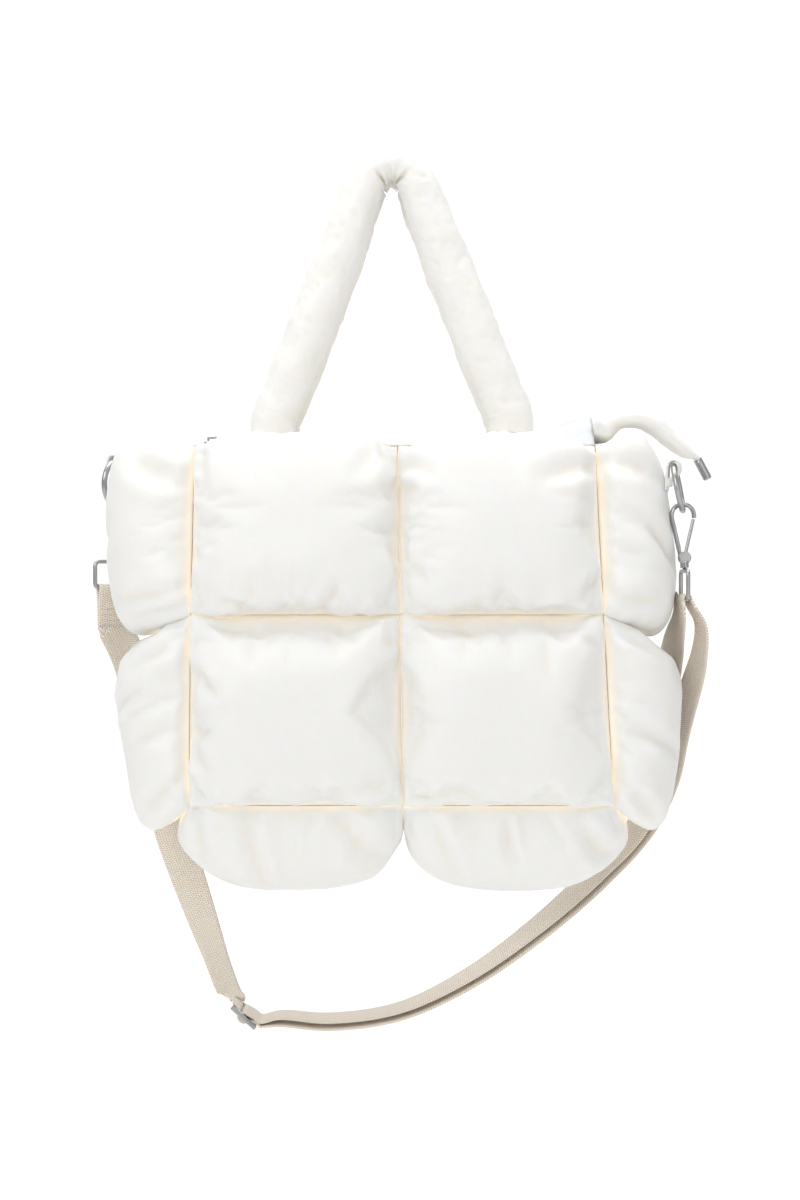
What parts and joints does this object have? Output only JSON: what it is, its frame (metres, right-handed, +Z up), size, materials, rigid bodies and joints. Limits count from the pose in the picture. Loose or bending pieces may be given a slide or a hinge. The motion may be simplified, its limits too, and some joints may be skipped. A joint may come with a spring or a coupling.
{
  "type": "puffer tote bag",
  "caption": "Square puffer tote bag with quilted stuffed chambers, two padded handles, a top zip and a webbing shoulder strap on snap hooks.",
  "frame": {"origin": "the inner fold of the two handles, where a peg would hold the hanging bag", "axes": "+Z up, -Y towards the viewer of the bag's front, +X to the right as seen from the front"},
  "size_m": [0.4331, 0.1538, 0.6092],
  "materials": {
    "puffer_cloth": "satin",
    "zip_cloth": "matte",
    "webbing": "matte",
    "steel": "brushed"
  },
  "bodies": {
    "bag": {"front_puff_upper_left": "puffer_cloth", "front_puff_upper_right": "puffer_cloth", "front_puff_lower_left": "puffer_cloth", "front_puff_lower_right": "puffer_cloth", "back_puff_upper_left": "puffer_cloth", "back_puff_upper_right": "puffer_cloth", "back_puff_lower_left": "puffer_cloth", "back_puff_lower_right": "puffer_cloth", "side_puff_left_upper": "puffer_cloth", "side_puff_left_lower": "puffer_cloth", "side_puff_right_upper": "puffer_cloth", "side_puff_right_lower": "puffer_cloth", "base_puff_left": "puffer_cloth", "base_puff_right": "puffer_cloth", "top_panel_front": "puffer_cloth", "top_panel_back": "puffer_cloth", "zip_tail": "puffer_cloth", "handle_front": "puffer_cloth", "handle_back": "puffer_cloth", "zip_tape_front": "zip_cloth", "zip_tape_back": "zip_cloth", "zip_chain": "zip_cloth", "tab_left": "webbing", "tab_right": "webbing", "strap": "webbing", "zip_slider": "steel", "zip_puller": "steel", "zip_tail_cap": "steel", "ring_left": "steel", "ring_right": "steel", "hook_left": "steel", "hook_right": "steel", "strap_loop_left": "steel", "strap_loop_right": "steel", "strap_slider": "steel"},
    "gate_left": {"gate_left": "steel"},
    "gate_right": {"gate_right": "steel"}
  },
  "joints": [
    {"name": "gate_left_hinge", "type": "hinge", "parent": "bag", "child": "gate_left", "pos_m": [-0.19777, 0.03078, -0.25264], "axis": [0.9196, 0.3928, 0], "range_deg": [0, 18], "stiffness_Nm_per_rad": 0.02, "springref_deg": -20.05},
    {"name": "gate_right_hinge", "type": "hinge", "parent": "bag", "child": "gate_right", "pos_m": [0.19867, -0.02709, -0.26003], "axis": [0.132, -0.9912, 0], "range_deg": [0, 18], "stiffness_Nm_per_rad": 0.02, "springref_deg": -20.05}
  ]
}
